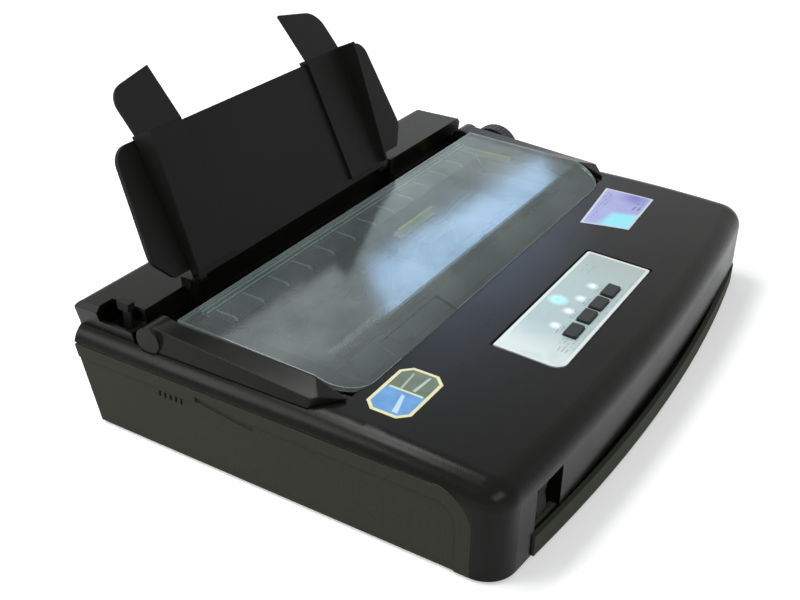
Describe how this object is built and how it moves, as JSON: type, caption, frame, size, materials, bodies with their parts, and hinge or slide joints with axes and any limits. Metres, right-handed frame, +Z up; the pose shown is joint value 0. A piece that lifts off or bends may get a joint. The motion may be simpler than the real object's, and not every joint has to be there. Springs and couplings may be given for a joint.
{
  "type": "dot matrix printer",
  "caption": "Low desktop impact printer with a hinged smoked cover, a raised rear sheet guide with sliding edge guides, a platen knob, and working feed and carriage drives inside.",
  "frame": {"origin": "under the middle of the whole printer, knob and sheet guide included, on the surface that the rubber feet stand on", "axes": "+Z up, the operator on the -Y side looking along +Y, +X to the operator's right"},
  "size_m": [0.414, 0.3114, 0.1955],
  "materials": {
    "black_gloss": "polished near-black moulding",
    "grey_matte": "fine-textured dark grey moulding",
    "black_matte": "matte black moulding",
    "rubber": "matte rubber",
    "zinc_steel": "zinc-plated sheet",
    "steel_bar": "ground steel bar",
    "nylon_white": "natural white gear plastic",
    "motor_steel": "dark painted can",
    "head_alloy": "cast alloy",
    "yellow_plastic": "yellow moulding",
    "ink_ribbon": "inked cloth ribbon",
    "board_green": "circuit board with its parts",
    "cable_grey": "flat ribbon cable",
    "panel_silver": "silver-blue printed plate",
    "key_black": "soft satin key",
    "lamp_white": "milky light guide",
    "lamp_cyan": "cyan light ring",
    "smoked_clear": "smoked clear plastic",
    "ribbed_clear": "clear ribbed plastic",
    "label_print": "printed film labels"
  },
  "bodies": {
    "case": {"lower_case": "grey_matte", "upper_case": "black_gloss", "rubber_feet": "rubber", "base_plate": "zinc_steel", "side_frame_left": "zinc_steel", "side_frame_right": "zinc_steel", "carriage_shaft": "steel_bar", "platen_bushes": "nylon_white", "feed_motor": "motor_steel", "tractor_rod": "steel_bar", "carriage_motor": "motor_steel", "timing_belt": "rubber", "ribbon_cartridge": "black_matte", "ribbon": "ink_ribbon", "paper_pan": "black_matte", "main_board": "board_green", "power_board": "board_green", "key_board": "board_green", "flat_cable": "cable_grey", "power_inlet": "black_matte", "data_sockets": "zinc_steel", "control_panel": "panel_silver", "status_lamps": "lamp_white", "power_lamp": "lamp_cyan", "stickers": "label_print", "screws": "zinc_steel"},
    "platen": {"platen_shaft": "steel_bar", "platen_roller": "rubber", "platen_gear": "nylon_white", "platen_knob": "black_matte"},
    "idler": {"idler_gear": "nylon_white"},
    "pinion": {"feed_pinion": "nylon_white"},
    "tractor_drive": {"tractor_shaft": "steel_bar", "tractor_gear": "nylon_white"},
    "rollers": {"pressure_rollers": "rubber"},
    "tractor_l": {"tractor_left": "black_matte"},
    "tractor_r": {"tractor_right": "black_matte"},
    "flap_l": {"tractor_flap_left": "black_matte"},
    "flap_r": {"tractor_flap_right": "black_matte"},
    "carriage_body": {"carriage": "black_matte", "print_head": "head_alloy", "head_tab": "yellow_plastic"},
    "drive_pulley_body": {"drive_pulley": "nylon_white"},
    "idler_pulley_body": {"idler_pulley": "nylon_white"},
    "ribbon_knob_body": {"ribbon_knob": "nylon_white"},
    "key_1_body": {"key_1": "key_black"},
    "key_2_body": {"key_2": "key_black"},
    "key_3_body": {"key_3": "key_black"},
    "key_4_body": {"key_4": "key_black"},
    "switch_body": {"power_switch": "black_matte"},
    "cover": {"cover_window": "smoked_clear", "cover_end_left": "black_gloss", "cover_end_right": "black_gloss", "cover_hinge_pins": "steel_bar", "paper_separator": "ribbed_clear"},
    "sheet_guide_body": {"sheet_guide": "black_matte"},
    "edge_l": {"edge_guide_left": "black_matte"},
    "edge_r": {"edge_guide_right": "black_matte"},
    "release_body": {"release_lever": "black_matte"},
    "thickness_body": {"thickness_lever": "yellow_plastic"}
  },
  "joints": [
    {"name": "platen_turn", "type": "hinge", "parent": "case", "child": "platen", "pos_m": [-0.007, 0.0743, 0.054], "axis": [1, 0, 0], "continuous": true},
    {"name": "idler_turn", "type": "hinge", "parent": "case", "child": "idler", "pos_m": [-0.186, 0.10046, 0.03205], "axis": [1, 0, 0], "continuous": true},
    {"name": "pinion_turn", "type": "hinge", "parent": "case", "child": "pinion", "pos_m": [-0.186, 0.07871, 0.02413], "axis": [1, 0, 0], "continuous": true},
    {"name": "tractor_drive_turn", "type": "hinge", "parent": "case", "child": "tractor_drive", "pos_m": [-0.007, 0.12188, 0.04705], "axis": [1, 0, 0], "continuous": true},
    {"name": "roller_turn", "type": "hinge", "parent": "case", "child": "rollers", "pos_m": [-0.007, 0.06465, 0.03729], "axis": [1, 0, 0], "continuous": true},
    {"name": "tractor_left_slide", "type": "slide", "parent": "case", "child": "tractor_l", "axis": [1, 0, 0], "range_m": [-0.03, 0.03]},
    {"name": "tractor_right_slide", "type": "slide", "parent": "case", "child": "tractor_r", "axis": [1, 0, 0], "range_m": [-0.03, 0.03]},
    {"name": "flap_left_hinge", "type": "hinge", "parent": "tractor_l", "child": "flap_l", "pos_m": [-0.1284, 0.1208, 0.0572], "axis": [0, -1, 0], "range_deg": [0, 80]},
    {"name": "flap_right_hinge", "type": "hinge", "parent": "tractor_r", "child": "flap_r", "pos_m": [0.0594, 0.1208, 0.0572], "axis": [0, 1, 0], "range_deg": [0, 80]},
    {"name": "carriage_slide", "type": "slide", "parent": "case", "child": "carriage_body", "axis": [1, 0, 0], "range_m": [-0.143, 0.081]},
    {"name": "drive_pulley_turn", "type": "hinge", "parent": "case", "child": "drive_pulley_body", "pos_m": [-0.161, 0.0063, 0.038], "axis": [0, 0, 1], "range_deg": [-1700, 1700]},
    {"name": "idler_pulley_turn", "type": "hinge", "parent": "case", "child": "idler_pulley_body", "pos_m": [0.147, 0.0063, 0.038], "axis": [0, 0, 1], "range_deg": [-1700, 1700]},
    {"name": "ribbon_knob_turn", "type": "hinge", "parent": "case", "child": "ribbon_knob_body", "pos_m": [-0.107, -0.0207, 0.06], "axis": [0, 0, 1], "continuous": true},
    {"name": "key_1_press", "type": "slide", "parent": "case", "child": "key_1_body", "axis": [0, 0.0499, -0.9988], "range_m": [0, 0.001], "stiffness_N_per_m": 400, "springref_m": -0.0005},
    {"name": "key_2_press", "type": "slide", "parent": "case", "child": "key_2_body", "axis": [0, 0.0499, -0.9988], "range_m": [0, 0.001], "stiffness_N_per_m": 400, "springref_m": -0.0005},
    {"name": "key_3_press", "type": "slide", "parent": "case", "child": "key_3_body", "axis": [0, 0.0499, -0.9988], "range_m": [0, 0.001], "stiffness_N_per_m": 400, "springref_m": -0.0005},
    {"name": "key_4_press", "type": "slide", "parent": "case", "child": "key_4_body", "axis": [0, 0.0499, -0.9988], "range_m": [0, 0.001], "stiffness_N_per_m": 400, "springref_m": -0.0005},
    {"name": "power_rocker", "type": "hinge", "parent": "case", "child": "switch_body", "pos_m": [-0.1605, -0.1327, 0.029], "axis": [1, 0, 0], "range_deg": [-10, 10]},
    {"name": "cover_hinge", "type": "hinge", "parent": "case", "child": "cover", "pos_m": [-0.007, 0.0898, 0.0685], "axis": [-1, 0, 0], "range_deg": [0, 52]},
    {"name": "sheet_guide_tilt", "type": "hinge", "parent": "case", "child": "sheet_guide_body", "pos_m": [-0.041, 0.0983, 0.082], "axis": [-1, 0, 0], "range_deg": [0, 55]},
    {"name": "edge_guide_left_slide", "type": "slide", "parent": "sheet_guide_body", "child": "edge_l", "axis": [1, 0, 0], "range_m": [-0.008, 0.06]},
    {"name": "edge_guide_right_slide", "type": "slide", "parent": "sheet_guide_body", "child": "edge_r", "axis": [1, 0, 0], "range_m": [-0.06, 0.02]},
    {"name": "release_lever_turn", "type": "hinge", "parent": "case", "child": "release_body", "pos_m": [-0.192, 0.1123, 0.058], "axis": [1, 0, 0], "range_deg": [-15, 15]},
    {"name": "thickness_lever_turn", "type": "hinge", "parent": "case", "child": "thickness_body", "pos_m": [0.15725, 0.0833, 0.042], "axis": [1, 0, 0], "range_deg": [0, 8]}
  ],
  "couplings": [
    {"joint": "idler_turn", "follows": "platen_turn", "ratio": -0.88889},
    {"joint": "pinion_turn", "follows": "platen_turn", "ratio": 3.2},
    {"joint": "tractor_drive_turn", "follows": "platen_turn", "ratio": 2},
    {"joint": "roller_turn", "follows": "platen_turn", "ratio": -2.8},
    {"joint": "drive_pulley_turn", "follows": "carriage_slide", "rad_per_m": -200},
    {"joint": "idler_pulley_turn", "follows": "carriage_slide", "rad_per_m": -200}
  ]
}
